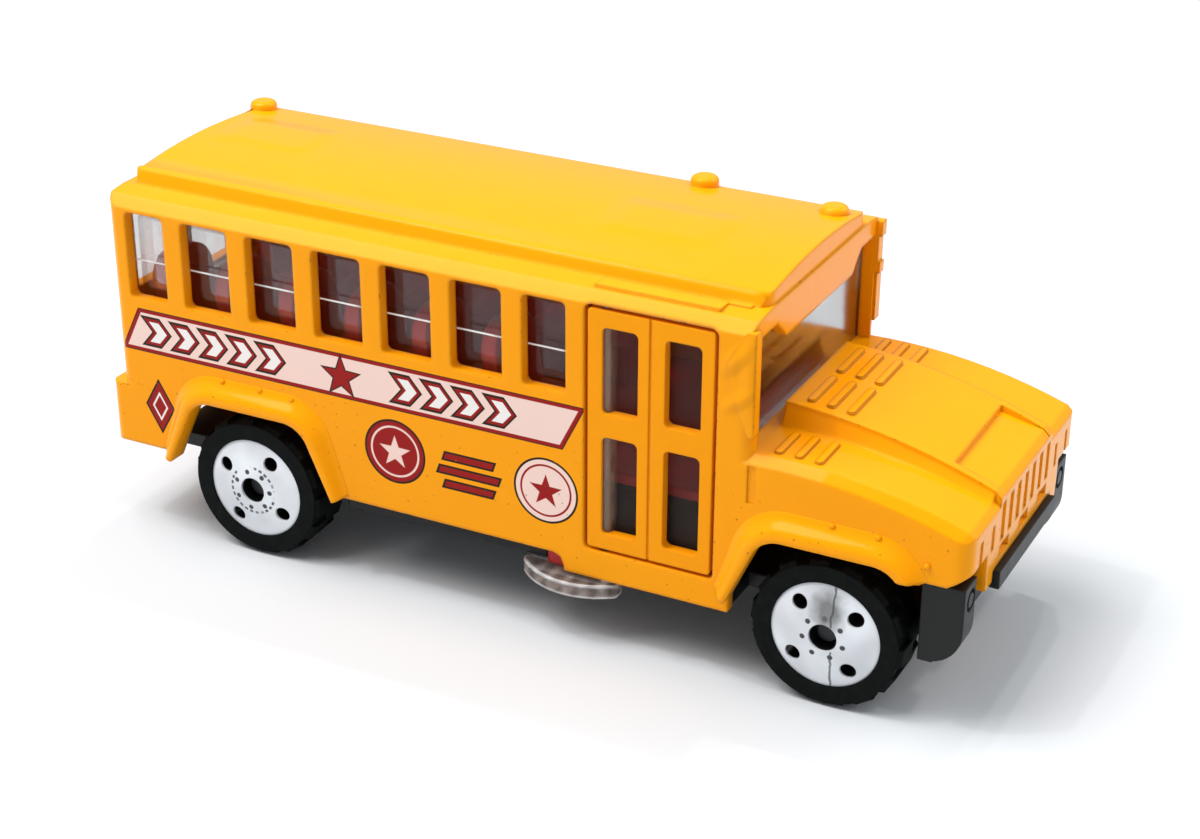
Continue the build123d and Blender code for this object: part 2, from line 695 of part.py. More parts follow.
def build_door_glass():
    """Pivot rod, the plate behind the panes and the thumb lever under the sill."""
    rod_x, rod_y = rod_place()
    inner = -half_width + door_inset + door_thickness + glass_gap
    rod = upright(rod_x, rod_y, (lever_bottom_z, rod_top_z), rod_radius)
    plate_x = (rod_x - rod_radius, door_rear_x + door_length - glass_margin)
    plate_z = (door_bottom_z + glass_margin, door_top_z - glass_margin)
    plate = block(plate_x, (inner, inner + glass_thickness), plate_z)
    front = (rod_x + lever_front, rod_y - lever_shoulder[0], lever_bottom_z)
    rear = (rod_x - lever_rear, rod_y - lever_shoulder[1], lever_bottom_z)
    outer = ThreePointArc(rear, (rod_x - lever_middle, -half_width - lever_proud, lever_bottom_z), front)
    root_y = rod_y + lever_root
    rest = Polyline(front, (front[0], root_y, lever_bottom_z), (rear[0], root_y, lever_bottom_z), rear)
    face = make_face(Wire([*outer.edges(), *rest.edges()]))
    lever = extrude(face, amount=lever_thickness, dir=(0, 0, 1))
    return rod + plate + fillet(lever.edges().filter_by(Axis.Z), lever_corner)


def wheel_place(axle_x, side, inner_y):
    """Place of a wheel's inner face, with Z outwards."""
    return Plane(origin=(axle_x, side * inner_y, tyre_radius), x_dir=(1, 0, 0), z_dir=(0, side, 0)).location


def hub_shape(turn):
    """Hub with a domed face, round holes, a hollow back and a bore for the axle."""
    rim = (hub_radius, 0, hub_width)
    dome = ThreePointArc(rim, (hub_radius / 2, 0, hub_width + hub_dome * 0.75), (0, 0, hub_width + hub_dome))
    rest = Polyline((0, 0, hub_width + hub_dome), (0, 0, 0), (hub_radius, 0, 0), rim)
    hub = revolve(make_face(Wire([*dome.edges(), *rest.edges()])), Axis.Z)
    hub -= upright(0, 0, (hub_width - cap_bore_depth, hub_width + 1), cap_bore_radius)
    hub -= Cylinder(axle_radius + wheel_running, 4 * hub_width)
    boss, rim_wall, web = hub_hollow
    hub -= extrude(Circle(hub_radius - rim_wall) - Circle(boss), amount=hub_width - web)
    count, hole_radius, ring_radius = hub_holes
    for i in range(count):
        angle = turn * pi / 180 + i * 2 * pi / count
        hub -= upright(ring_radius * cos(angle), ring_radius * sin(angle), (web, hub_width + 1), hole_radius)
    return hub


def tyre_shape():
    """Tyre with two staggered rows of flat-topped lugs; one lug's corner is at the very bottom."""
    inner = hub_radius + tyre_fit
    tyre = extrude(Circle(tyre_radius - lug_height) - Circle(inner), amount=tyre_width)
    half = lug_length / 2
    top = (tyre_radius**2 - half**2) ** 0.5
    foot = tyre_radius - 2.5 * lug_height
    reach = tyre_width / 2 + lug_past_middle
    outline = [(foot, 0), (top - lug_bevel, 0), (top, lug_bevel), (top, reach), (foot, reach)]
    face = make_face(Polyline(*[(x, half, z) for x, z in outline], close=True))
    lug = extrude(face, amount=lug_length, dir=(0, -1, 0))
    corner = asin(half / tyre_radius) * 180 / pi
    for i in range(lug_count):
        tyre += Rot(0, 0, i * 360 / lug_count + corner) * lug
        other = Pos(0, 0, tyre_width) * Rot(180, 0, 0) * lug
        tyre += Rot(0, 0, (i + 0.5) * 360 / lug_count + corner) * other
    return tyre


def build_axle(axle_x):
    head_y = hub_face - cap_bore_depth + end_play
    half = head_y + axle_overlap
    shaft = Pos(axle_x, 0, tyre_radius) * Rot(90, 0, 0) * Cylinder(axle_radius, 2 * half)
    for side in (-1, 1):
        head = Cylinder(axle_head_radius, axle_head_length)
        head = chamfer(head.edges().group_by(Axis.Z)[-1], axle_head_chamfer)
        shaft += wheel_place(axle_x, side, head_y + axle_head_length / 2) * head
    return shaft


def build_base():
    """Plate with keel, axle carriers and the black front bumper."""
    top = base_bottom_z + base_thickness
    x_rear = body_rear_x + wall + base_end_gap[0]
    plate_z = (base_bottom_z, top)
    arch_gap = arch_half_bottom + base_wheel_gap
    plate_front_x = nose_x - plate_front_gap
    plate = block((x_rear, plate_front_x), (-carrier_half, carrier_half), plate_z)
    side_spans = (
        (rear_axle_x + arch_gap, door_rear_x - base_door_gap[0]),
        (door_rear_x + base_door_gap[1], front_axle_x - arch_gap),
    )
    for x_range in side_spans:
        plate += block(x_range, (-base_half, base_half), plate_z)
    keel_z = (base_bottom_z - keel_drop, base_bottom_z + base_thickness / 2)
    plate += block((rear_axle_x + keel_end, front_axle_x - keel_end), (-keel_half, keel_half), keel_z)
    for axle_x in (rear_axle_x, front_axle_x):
        carrier_x = (axle_x - carrier_length / 2, axle_x + carrier_length / 2)
        plate += block(carrier_x, (-carrier_half, carrier_half), (keel_z[0], top + carrier_rise))

    # front bumper: a bar, the wall behind it and a block at each end
    bar_top = fascia_bottom_z - casting_gap
    front_wall_x = front_axle_x + wheel_bay_half
    plate += block((front_wall_x, nose_x), (-front_bar_half, front_bar_half), (front_bar_bottom_z, bar_top))
    front_wall = (-bumper_end[1], bumper_end[1])
    plate += block((front_wall_x, plate_front_x), front_wall, (base_bottom_z, bar_top))
    end_x = nose_x - bumper_end_setback
    end_z = (base_bottom_z, fender_bottom_z - bumper_end_gap)
    ring_y, ring_z, ring_radius, ring_inner, ring_depth = tow_ring
    for side in (-1, 1):
        end = block((front_wall_x, end_x), mirrored(side, *bumper_end), end_z)
        lower = end.edges().filter_by(Axis.Y).group_by(Axis.Z)[0]
        plate += fillet(lower.sort_by(Axis.X)[-1], bumper_end_round)
        plate -= ring_cut((end_x, side * ring_y, ring_z), ring_radius, ring_radius - ring_inner, ring_depth)
    post_x, post_y, _ = post_box()
    notch_x = (post_x[0] - post_gap, post_x[1] + post_gap)
    plate -= block(notch_x, (-half_width, post_y[1] + post_gap), (0, top + 1))
    for x, top_z in post_places:
        plate -= upright(x, 0, (0, top_z), post_radius + post_clearance)
    for axle_x in (rear_axle_x, front_axle_x):
        bore = Cylinder(axle_radius + axle_fit, 4 * half_width)
        plate -= Pos(axle_x, 0, tyre_radius) * Rot(90, 0, 0) * bore
    return plate


def seat_outline(back_x, depth):
    """Seat from the side: a leaning back and a cushion."""
    floor = floor_z + floor_thickness - seat_sink
    front_x = back_x + seat_back_thickness + depth
    return [
        (back_x, floor),
        (back_x - seat_back_lean, seat_back_z),
        (back_x - seat_back_lean + seat_back_thickness, seat_back_z),
        (back_x + seat_back_thickness, seat_cushion_z),
        (front_x, seat_cushion_z),
        (front_x, floor),
    ]


def seat(outline, y_range):
    """Seat or bench on the floor, its back rounded at the top corners."""
    width = y_range[1] - y_range[0]
    height = seat_back_z - floor_z + seat_corner
    length = outline[4][0] - outline[1][0]
    middle = (outline[1][0], (y_range[0] + y_range[1]) / 2, seat_back_z - height / 2)
    place = Plane(origin=middle, x_dir=(0, 1, 0), z_dir=(1, 0, 0))
    arch = extrude(place * RectangleRounded(width, height, seat_corner), amount=length)
    return side_plate(outline, *y_range) & arch


def post_box():
    """The coloured post beside the lever: its lowest and highest X, Y and Z."""
    x = door_rear_x - post_behind_door
    y = (-half_width + wall + casting_gap, -interior_half + post_depth)
    z = (lever_bottom_z + lever_thickness + post_lever_gap, floor_z + seat_sink)
    return (x, x + post_length), y, z


def build_interior():
    """Floor tray with seats, dash, steering wheel and the coloured post beside the lever."""
    top = floor_z + floor_thickness
    x_rear = body_rear_x + wall + interior_end_gap[0]
    x_front = cab_front_x - wall - interior_end_gap[1]
    tray = block((x_rear, x_front), (-interior_half, interior_half), (floor_z, top))
    seat_outer = half_width - wall - glazing_gap - glazing_thickness - seat_clearance
    well_x = door_rear_x - door_well_behind
    for i in range(seat_count):
        outline = seat_outline(first_window_x + seat_setback + i * window_pitch, seat_depth)
        tray += seat(outline, (seat_outer - seat_width, seat_outer))
        if outline[4][0] <= well_x:
            tray += seat(outline, (-seat_outer, seat_width - seat_outer))
    driver = seat_outline(door_rear_x + driver_seat_ahead, driver_seat_depth)
    driver_y = seat_outer - driver_seat_inset
    tray += seat(driver, (driver_y - driver_seat_width, driver_y))
    dash_top = windshield_sill_z - dash_drop
    dash_x = cab_front_x - wall - glazing_gap - glazing_thickness - dash_gap
    dash = [
        (dash_x - dash_length, top - seat_sink),
        (dash_x - dash_length + dash_slope, dash_top),
        (dash_x, dash_top),
        (dash_x, top - seat_sink),
    ]
    tray += side_plate(dash, -door_well_half + dash_door_gap, seat_outer)
    lean = Rot(0, -steering_lean, 0)
    wheel_x = dash_x - dash_length - dash_slope
    column_place = Pos(dash_x - dash_length, steering_y, dash_top - dash_slope)
    tray += column_place * lean * Cylinder(column_radius, column_length)
    wheel_middle = Pos(wheel_x, steering_y, dash_top + dash_drop)
    tray += wheel_middle * lean * Cylinder(steering_radius, steering_thickness)
    tray -= block((well_x, x_front + 1), (-interior_half - 1, -door_well_half), (floor_z - 1, crown_z))
    tray += block(*post_box())
    return tray


def glazing_section(x, inset):
    """Upside-down tub across the cabin; inset makes its inside, open below."""
    outer = half_width - wall - glazing_gap - inset
    half = [
        (outer, glazing_bottom_z - (1 if inset else 0)),
        (outer, eave_z - wall * inner_eave_share - glazing_roof_gap - inset),
        (shoulder_half - wall - glazing_roof_gap - inset, shoulder_z - wall - glazing_roof_gap - inset),
    ]
    points = [(x, -y, z) for y, z in half] + [(x, y, z) for y, z in reversed(half)]
    return make_face(Polyline(*points, close=True))


def build_glazing():
    """One clear moulding behind all the fixed windows and the windshield."""
    x_rear = body_rear_x + wall + glazing_gap
    x_front = cab_front_x - wall - glazing_gap
    length = x_front - x_rear
    tub = extrude(glazing_section(x_rear, 0), amount=length, dir=(1, 0, 0))
    inner = glazing_section(x_rear + glazing_thickness, glazing_thickness)
    tub -= extrude(inner, amount=length - 2 * glazing_thickness, dir=(1, 0, 0))
    well_x = (door_rear_x - door_well_behind, x_front - glazing_return)
    return tub - block(well_x, (-half_width, -door_well_half), (glazing_bottom_z - 1, crown_z))


parts = {
    "body_casting": build_body(),
    "door_panel": build_door_panel(),
    "door_glass_lever": build_door_glass(),
    "window_glazing": build_glazing(),
    "interior_moulding": build_interior(),
    "base_moulding": build_base(),
}
tyre = tyre_shape()
for end, axle_x in (("front", front_axle_x), ("rear", rear_axle_x)):
    parts[f"{end}_axle"] = build_axle(axle_x)
    hub = hub_shape(hub_turn[end])
    for side_name, side in (("right", -1), ("left", 1)):
        parts[f"{end}_{side_name}_hub"] = wheel_place(axle_x, side, hub_face - hub_width) * hub
        parts[f"{end}_{side_name}_tyre"] = wheel_place(axle_x, side, tyre_face - tyre_width) * tyre

for name, solid in parts.items():
    export_step(solid, f"parts/{name}.step")
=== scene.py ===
import math

import bpy
from mathutils import Matrix, Vector


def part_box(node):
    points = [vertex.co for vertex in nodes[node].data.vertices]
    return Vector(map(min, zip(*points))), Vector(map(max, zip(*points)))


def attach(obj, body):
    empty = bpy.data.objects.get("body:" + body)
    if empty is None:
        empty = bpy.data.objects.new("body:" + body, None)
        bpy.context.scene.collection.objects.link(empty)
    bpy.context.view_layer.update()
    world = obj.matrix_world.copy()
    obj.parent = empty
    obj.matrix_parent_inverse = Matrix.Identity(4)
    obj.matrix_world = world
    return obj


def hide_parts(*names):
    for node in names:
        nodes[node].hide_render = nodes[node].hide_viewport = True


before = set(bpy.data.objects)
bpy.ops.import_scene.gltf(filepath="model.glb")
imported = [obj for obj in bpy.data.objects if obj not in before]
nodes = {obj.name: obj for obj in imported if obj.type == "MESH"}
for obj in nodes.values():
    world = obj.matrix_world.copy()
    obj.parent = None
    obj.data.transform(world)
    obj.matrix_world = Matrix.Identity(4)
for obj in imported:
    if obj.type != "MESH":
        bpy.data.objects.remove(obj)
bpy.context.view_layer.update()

# A die-cast toy school bus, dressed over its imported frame. Pieces are in metres; sizes below are in mm.
mm = 0.001
scene = bpy.context.scene


def nodeBox(name):
    low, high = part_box(name)
    return low / mm, high / mm


bodyLow, bodyHigh = nodeBox("body_casting")
wheels = {}       # the middle of each wheel, its hub's radius and the hub's outer face
for end in ("front", "rear"):
    for side in ("right", "left"):
        low, high = nodeBox(f"{end}_{side}_tyre")
        hubLow, hubHigh = nodeBox(f"{end}_{side}_hub")
        wheels[f"{end}_{side}"] = {
            "x": (low.x + high.x) / 2, "z": (low.z + high.z) / 2,
            "hubRadius": (hubHigh.z - hubLow.z) / 2, "hubFace": max(abs(hubLow.y), abs(hubHigh.y)),
        }
print("frame: %d nodes, %.1f mm long" % (len(nodes), bodyHigh.x - bodyLow.x))


class Wire:
    # one output of a material's node, with Python's operators on it
    def __init__(self, finish, socket):
        self.finish = finish
        self.socket = socket

    def maths(self, operation, other=0.0, swap=False):
        pair = (other, self) if swap else (self, other)
        return self.finish.add("Math", {"operation": operation}, {0: pair[0], 1: pair[1]})

    def __add__(self, other):
        return self.maths("ADD", other)

    def __sub__(self, other):
        return self.maths("SUBTRACT", other)

    def __rsub__(self, other):
        return self.maths("SUBTRACT", other, swap=True)

    def __mul__(self, other):
        return self.maths("MULTIPLY", other)

    def __truediv__(self, other):
        return self.maths("DIVIDE", other)

    def __pow__(self, other):
        return self.maths("POWER", other)

    def __abs__(self):
        return self.maths("ABSOLUTE")

    __radd__ = __add__
    __rmul__ = __mul__

    def least(self, other):
        return self.maths("MINIMUM", other)

    def most(self, other):
        return self.maths("MAXIMUM", other)

    def wrap(self, period):
        return self.maths("FLOORED_MODULO", period)

    def sine(self):
        return self.maths("SINE")

    def cosine(self):
        return self.maths("COSINE")

    def root(self):
        return self.maths("SQRT")

    def angle(self, run):
        return self.maths("ARCTAN2", run)

    def under(self, limit, soft=0.04):
        # 1 below the limit and 0 above it, blurred over a soft width
        return self.finish.add("MapRange", {"interpolation_type": "SMOOTHSTEP"},
                               {0: self, 1: limit - soft / 2, 2: limit + soft / 2, 3: 1.0, 4: 0.0})

    def over(self, limit, soft=0.04):
        return 1.0 - self.under(limit, soft)

    def between(self, low, high, soft=0.04):
        return self.over(low, soft) * self.under(high, soft)


class Finish:
    # a procedural material: patterns read Object coordinates, in mm
    def __init__(self, name):
        self.material = bpy.data.materials.new(name)
        self.material.use_nodes = True
        self.tree = self.material.node_tree
        self.tree.nodes.clear()
        self.output = self.tree.nodes.new("ShaderNodeOutputMaterial")
        place = self.add("TexCoord", output="Object")
        self.place = self.add("VectorMath", {"operation": "SCALE"}, {0: place, "Scale": 1 / mm})
        self.x, self.y, self.z = self.split(self.place)

    def add(self, kind, settings=None, sockets=None, output=0):
        node = self.tree.nodes.new("ShaderNode" + kind)
        for name, value in (settings or {}).items():
            setattr(node, name, value)
        for name, value in (sockets or {}).items():
            if isinstance(value, Wire):
                self.tree.links.new(value.socket, node.inputs[name])
            else:
                node.inputs[name].default_value = value
        return Wire(self, node.outputs[output])

    def split(self, vector):
        node = self.add("SeparateXYZ", None, {0: vector}).socket.node
        return [Wire(self, node.outputs[i]) for i in range(3)]

    def mix(self, share, first, second):
        values = {0: share}
        for name, value in ((6, first), (7, second)):
            values[name] = value if isinstance(value, Wire) else (*value, 1.0)
        return self.add("Mix", {"data_type": "RGBA"}, values, output=2)

    def noise(self, scale, detail, rough=0.5, stretch=(1, 1, 1)):
        place = self.place
        if stretch != (1, 1, 1):
            place = self.add("Mapping", None, {0: place, "Scale": stretch})
        return self.add("TexNoise", None, {"Vector": place, "Scale": scale, "Detail": detail, "Roughness": rough})

    def bump(self, height, strength, distance, normal=None):
        sockets = {"Height": height, "Strength": strength, "Distance": distance * mm}
        if normal is not None:
            sockets["Normal"] = normal
        return self.add("Bump", None, sockets)

    def rounded(self, radius):
        return self.add("Bevel", {"samples": 6}, {"Radius": radius * mm})

    def edges(self, radius):
        # 1 on sharp edges, fading over the radius
        normals = [self.add("NewGeometry", output="Normal"), self.rounded(radius)]
        return self.add("VectorMath", {"operation": "DISTANCE"}, {0: normals[0], 1: normals[1]}, output="Value")

    def shader(self, **sockets):
        names = {"base": "Base Color", "rough": "Roughness", "metal": "Metallic", "coat": "Coat Weight",
                 "coatRough": "Coat Roughness", "normal": "Normal", "gloss": "Specular IOR Level",
                 "tint": "Specular Tint"}
        values = {}
        for name, value in sockets.items():
            if name in ("base", "tint") and not isinstance(value, Wire):
                value = (*value, 1.0)
            values[names[name]] = value
        return self.add("BsdfPrincipled", None, values)

    def surface(self, **sockets):
        return self.finished(self.shader(**sockets))

    def seeThrough(self, share, tint, **sockets):
        # clear plastic: the share is what the gloss hides of what lies behind
        behind = self.add("BsdfTransparent", None, {0: (*tint, 1.0)})
        return self.finished(self.add("MixShader", None, {0: share, 1: behind, 2: self.shader(**sockets)}))

    def finished(self, shader):
        self.tree.links.new(shader.socket, self.output.inputs[0])
        return self.material



prints = {        # printed on the flat of both sides
    "side": 12.28, "bannerLow": 15.99, "bannerHigh": 19.82, "bannerRear": -35.75, "bannerFront": 4.85,
    "slant": 0.5, "line": 0.08, "border": 0.36,
    "starX": -14.6, "chevrons": ((-32.6, 5), (-9.2, 4)), "pitch": 2.75,      # a run's rear end, and how many
    "lozenge": (-32.4, 11.3), "roundel": 2.75,
    "roundels": ((-9.9, 12.4, "darkRed", "blush"), (3.4, 12.2, "blush", "darkRed")),    # x, z, fill, mark
    "bars": ((13.1, -5.6, -1.0), (11.9, -6.1, -0.5), (10.7, -5.6, -1.0)),    # z, rear end, front end
}
relief = {        # soft lumps on the front pillar, shallow boxes on the roof, and where the louvres stand
    "lumps": ((18.7, 26.3, 2.3, 1.0, 52, 1.0), (18.9, 23.1, 2.1, 0.9, 40, 0.8), (19.6, 25.0, 0.8, 5.0, 0, 0.5)),
    "pillarSide": -12.2, "pillarHeight": 0.24,       # lumps: x, z, half length, half width, lean, height
    "boxes": ((-33.2, -25.0, -1.2, 4.4), (3.6, 12.6, -4.2, 1.6)),            # rear, front, right, left
    "boxRamp": (2.4, 2.2), "roofZ": 28.0, "boxHeight": 0.20,
    "louvres": (20.9, 30.5), "louvreZ": 16.4, "hoodLouvre": 5.6, "cowlLouvre": (7.2, 11.5),
}
colours = {
    "enamel": (0.96, 0.345, 0.002), "darkRed": (0.29, 0.001, 0.008), "blush": (0.86, 0.62, 0.55),
    "ink": (0.008, 0.006, 0.007), "white": (0.84, 0.80, 0.77),
}


def enamelFinish():
    f = Finish("yellowEnamel")
    flow = f.noise(0.35, 2.0)
    base = f.mix(flow, colours["enamel"], tuple(c * 0.94 for c in colours["enamel"]))
    p, r = prints, relief
    facing = f.split(f.add("NewGeometry", output="True Normal"))
    side = abs(facing[1]).over(0.9, 0.05) * abs(f.y).between(p["side"], p["side"] + 0.2, 0.01)

    def stamp(mask, colour):
        nonlocal base
        base = f.mix(mask * side, base, colour)

    # banner: blush with a dark red border, its ends slanted
    along = f.x - (f.z - p["bannerLow"]) * p["slant"]

    def banner(inset):
        return (along.between(p["bannerRear"] + inset * 1.2, p["bannerFront"] - inset * 1.2)
                * f.z.between(p["bannerLow"] + inset, p["bannerHigh"] - inset))

    stamp(banner(0.0), colours["ink"])
    stamp(banner(p["line"]), colours["darkRed"])
    stamp(banner(p["border"]), colours["blush"])

    def star(x, z, outer, inner):
        dx, dz = f.x - x, f.z - z
        sector = 2 * math.pi / 5
        turn = (dx.angle(dz) + sector / 2).wrap(sector) - sector / 2
        reach = (dx * dx + dz * dz).root()
        u, v = reach * turn.cosine(), reach * abs(turn.sine())
        edgeX, edgeZ = inner * math.cos(sector / 2) - outer, inner * math.sin(sector / 2)
        length = math.hypot(edgeX, edgeZ)
        return ((u - outer) * (edgeZ / length) - v * (edgeX / length)).under(0.0, 0.05)

    def disc(x, z, radius):
        dx, dz = f.x - x, f.z - z
        return (dx * dx + dz * dz).root().under(radius)

    # a run of chevrons each side of a star
    midZ = (p["bannerLow"] + p["bannerHigh"]) / 2
    lift = abs(f.z - midZ)
    for low, count in p["chevrons"]:
        bent = f.x + lift * 0.85
        inRun = bent.between(low, low + (count - 1) * p["pitch"] + 2.0)
        place = (bent - low).wrap(p["pitch"])
        stamp(inRun * place.between(0.0, 1.95) * lift.under(1.32), colours["ink"])
        stamp(inRun * place.between(0.2, 1.75) * lift.under(1.12), colours["darkRed"])
        stamp(inRun * place.between(0.5, 1.45) * lift.under(0.88), colours["white"])
    stamp(star(p["starX"], midZ - 0.1, 2.0, 0.82), colours["ink"])
    stamp(star(p["starX"], midZ - 0.1, 1.7, 0.68), colours["darkRed"])

    # below the banner: a lozenge, two roundels and three bars between them
    x, z = p["lozenge"]
    lozenge = abs(f.x - x) * 0.72 + abs(f.z - z) * 0.42
    stamp(lozenge.under(1.05), colours["ink"])
    stamp(lozenge.under(0.92), colours["darkRed"])
    stamp(lozenge.between(0.42, 0.55), colours["white"])
    outer = p["roundel"]
    for x, z, fill, mark in p["roundels"]:
        stamp(disc(x, z, outer), colours["ink"])
        stamp(disc(x, z, outer - 0.18), colours[fill])
        stamp(disc(x, z, outer - 0.55) * (1.0 - disc(x, z, outer - 0.72)), colours[mark])
        stamp(star(x, z - 0.05, 1.45, 0.58), colours[mark])
    for z, low, high in p["bars"]:
        lean = f.x - (f.z - z) * 0.35
        stamp(lean.between(low, high) * f.z.between(z - 0.42, z + 0.42), colours["ink"])
        stamp(lean.between(low + 0.2, high - 0.2) * f.z.between(z - 0.24, z + 0.24), colours["darkRed"])

    # small chips in the paint: along the edges and low on the sides
    worn = f.edges(0.12).over(0.35, 0.2) * f.noise(1.4, 3.0, 0.7).over(0.62, 0.03)
    specks = f.noise(2.6, 1.0).over(0.745, 0.015) * f.z.under(16.0, 1.0)
    base = f.mix(worn.most(specks * 0.6), base, (0.16, 0.07, 0.02))
    # painted shade: the louvres' outlines are darkened in the base colour
    louvres = (f.x.between(*r["louvres"], 0.4) * f.z.over(r["louvreZ"], 0.2)
               * abs(f.y).under(r["hoodLouvre"], 0.1).most(abs(f.y).between(*r["cowlLouvre"], 0.1)))
    base = f.mix(f.edges(0.12).over(0.12, 0.1) * louvres * 0.65, base, (0.34, 0.08, 0.003))

    def lump(x, z, length, width, lean, height):
        # a soft oval swelling, its long way leaning
        u, v = f.x - x, f.z - z
        cos, sin = math.cos(math.radians(lean)), math.sin(math.radians(lean))
        far, across = (u * cos + v * sin) / length, (v * cos - u * sin) / width
        return (1.0 - far * far - across * across).most(0.0) ** 2.5 * height

    def box(rear, front, right, left):
        return f.x.between(rear, front, r["boxRamp"][0]) * f.y.between(right, left, r["boxRamp"][1])

    pillar = sum(lump(*row) for row in r["lumps"]) * f.y.under(r["pillarSide"], 0.1)
    roof = sum(box(*row) for row in r["boxes"]) * f.z.over(r["roofZ"], 0.2)
    rounded = f.bump(pillar * r["pillarHeight"] + roof * r["boxHeight"], 1.0, 1.0, f.rounded(0.42))
    normal = f.bump(f.noise(1.1, 2.0), 0.12, 0.03, rounded)
    return f.surface(base=base, rough=0.19 + flow * 0.04, gloss=0.18, tint=(1.0, 0.60, 0.10), coat=0.14,
                     coatRough=0.03, normal=normal)


def doorFinish():
    f = Finish("yellowPlastic")
    flow = f.noise(0.6, 2.0)
    base = f.mix(flow, (0.93, 0.325, 0.003), (0.88, 0.30, 0.003))
    return f.surface(base=base, rough=0.32 + flow * 0.08, gloss=0.3, tint=(1.0, 0.62, 0.14),
                     normal=f.bump(f.noise(3.0, 2.0), 0.08, 0.02, f.rounded(0.2)))


def glazingFinish():
    f = Finish("clearGlazing")
    gloss = f.add("Fresnel", None, {"IOR": 1.45})
    haze = f.noise(0.6, 2.0)
    sheen = f.x.over(18.6, 0.4) * (f.y + f.z * 0.6).over(11.0, 14.0) * 0.5       # on the windshield only
    share = (gloss * 0.42 + haze * 0.01 + sheen).least(1.0)
    return f.seeThrough(share, (0.95, 0.945, 0.94), base=(0.86, 0.87, 0.87), metal=1.0,
                        rough=0.05 + sheen * 0.2, normal=f.bump(f.noise(0.35, 1.0), 0.08, 0.1))


def beadFinish():
    f = Finish("beadHighlight")
    # painted highlight: the bead is whitish and partly opaque so it shows as a bright line, brighter in random patches
    gleamHighlight = f.noise(0.5, 2.0).over(0.42, 0.3)
    return f.seeThrough(0.35 + gleamHighlight * 0.5, (0.9, 0.9, 0.9), base=(0.95, 0.95, 0.95), rough=0.15, gloss=0.6)


def leverFinish():
    # the panes are clear but for a painted highlight band; the thumb lever below them is ribbed and cloudy, with
    # painted highlights along its edges
    f = Finish("clearLever")
    lever = f.z.under(6.0, 0.5)
    gloss = f.add("Fresnel", None, {"IOR": 1.45})
    # painted highlight: the lever's edges are whitened and made less clear
    rim = f.edges(0.42).over(0.16, 0.3)
    ribs = ((f.x * 4.6 + f.noise(0.5, 1.0) * 3.0).sine() * 0.5 + 0.5) * f.noise(0.8, 2.0)
    # painted highlight: a lighter vertical band down the panes, where the hinge rod stands behind them
    rodHighlight = (f.x + f.z * 0.004 + f.noise(0.6, 1.0) * 0.3).between(8.1, 8.85, 0.25) * (1.0 - lever)
    share = gloss * 0.5 + lever * (rim * 0.30 + ribs * 0.40 + 0.20) + (1.0 - lever) * 0.05 + rodHighlight * 0.32
    dim = f.mix(rodHighlight, (0.20, 0.155, 0.14), (0.50, 0.36, 0.27))
    base = f.mix(rim * lever, f.mix(ribs * lever, dim, (0.62, 0.56, 0.52)), (0.95, 0.95, 0.94))
    return f.seeThrough(share.least(1.0), (0.90, 0.88, 0.87), base=base, rough=0.10, coat=0.3,
                        normal=f.bump(ribs, 0.3, 0.08, f.rounded(0.3)))


def interiorFinish():
    f = Finish("redPlastic")
    flow = f.noise(0.7, 3.0)
    base = f.mix(flow, (0.62, 0.030, 0.030), (0.46, 0.020, 0.024))
    return f.surface(base=base, rough=0.4 + flow * 0.12, gloss=0.4,
                     normal=f.bump(f.noise(4.0, 2.0), 0.12, 0.02, f.rounded(0.45)))


def baseFinish():
    f = Finish("blackPlastic")
    flow = f.noise(0.9, 3.0)
    scuff = f.noise(0.5, 4.0, 0.7, (1, 6, 6)).over(0.62, 0.08)
    base = f.mix(scuff * 0.3, (0.003, 0.0035, 0.0035), (0.016, 0.017, 0.017))
    return f.surface(base=base, rough=0.36 + flow * 0.12, gloss=0.3,
                     normal=f.bump(f.noise(5.0, 2.0), 0.15, 0.02, f.rounded(0.25)))


def axleFinish():
    f = Finish("axleSteel")
    rings = f.noise(1.5, 2.0, 0.5, (1, 12, 1))
    # painted shade: the axle's ends, deep in the hub bores, are near black and not metallic
    headShade = abs(f.y).over(9.0, 0.5)
    base = f.mix(headShade, f.mix(rings, (0.36, 0.36, 0.38), (0.22, 0.22, 0.23)), (0.008, 0.008, 0.009))
    return f.surface(base=base, metal=1.0 - headShade, rough=0.35 + rings * 0.15)


hubMarks = {"dots": 7, "dotRing": 1.62, "dot": 0.21, "turn": {"front": 1.52, "rear": 1.85},
            "dashRing": 2.02, "dome": 0.6}


